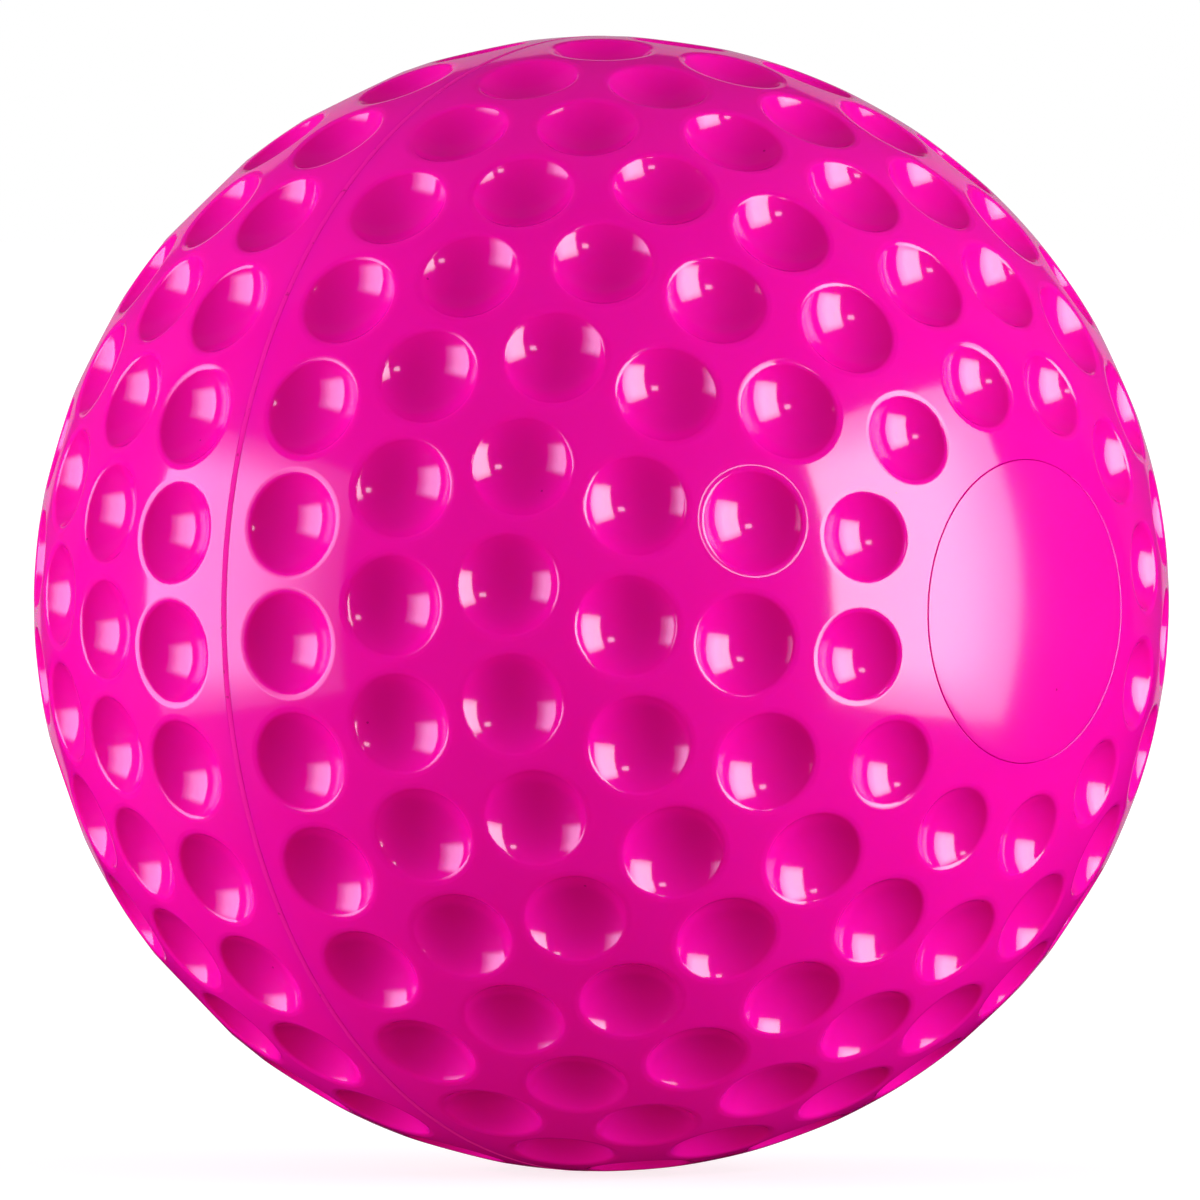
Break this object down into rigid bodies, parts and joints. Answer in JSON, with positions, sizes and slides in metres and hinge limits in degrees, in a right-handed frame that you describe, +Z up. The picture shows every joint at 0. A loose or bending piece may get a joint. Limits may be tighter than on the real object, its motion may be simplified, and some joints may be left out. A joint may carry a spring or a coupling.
{
  "type": "bowling machine ball",
  "caption": "Dimpled plastic ball for a cricket bowling machine: moulded half covers bonded at a lipped seam over a light foam core, with a smooth plug at each pole.",
  "frame": {"origin": "centre of the ball", "axes": "+X along the mould axis to the pole that the picture shows, so the seam lies in the YZ plane; +Z up; +Y away from the viewer's left"},
  "size_m": [0.072, 0.072, 0.072],
  "materials": {
    "cover": "gloss",
    "bond": "satin",
    "plug": "gloss",
    "core": "matte"
  },
  "bodies": {
    "root": {"near_half_cover": "cover", "far_half_cover": "cover", "seam_bond": "bond", "core": "core", "near_pole_plug": "plug", "far_pole_plug": "plug"}
  },
  "joints": []
}
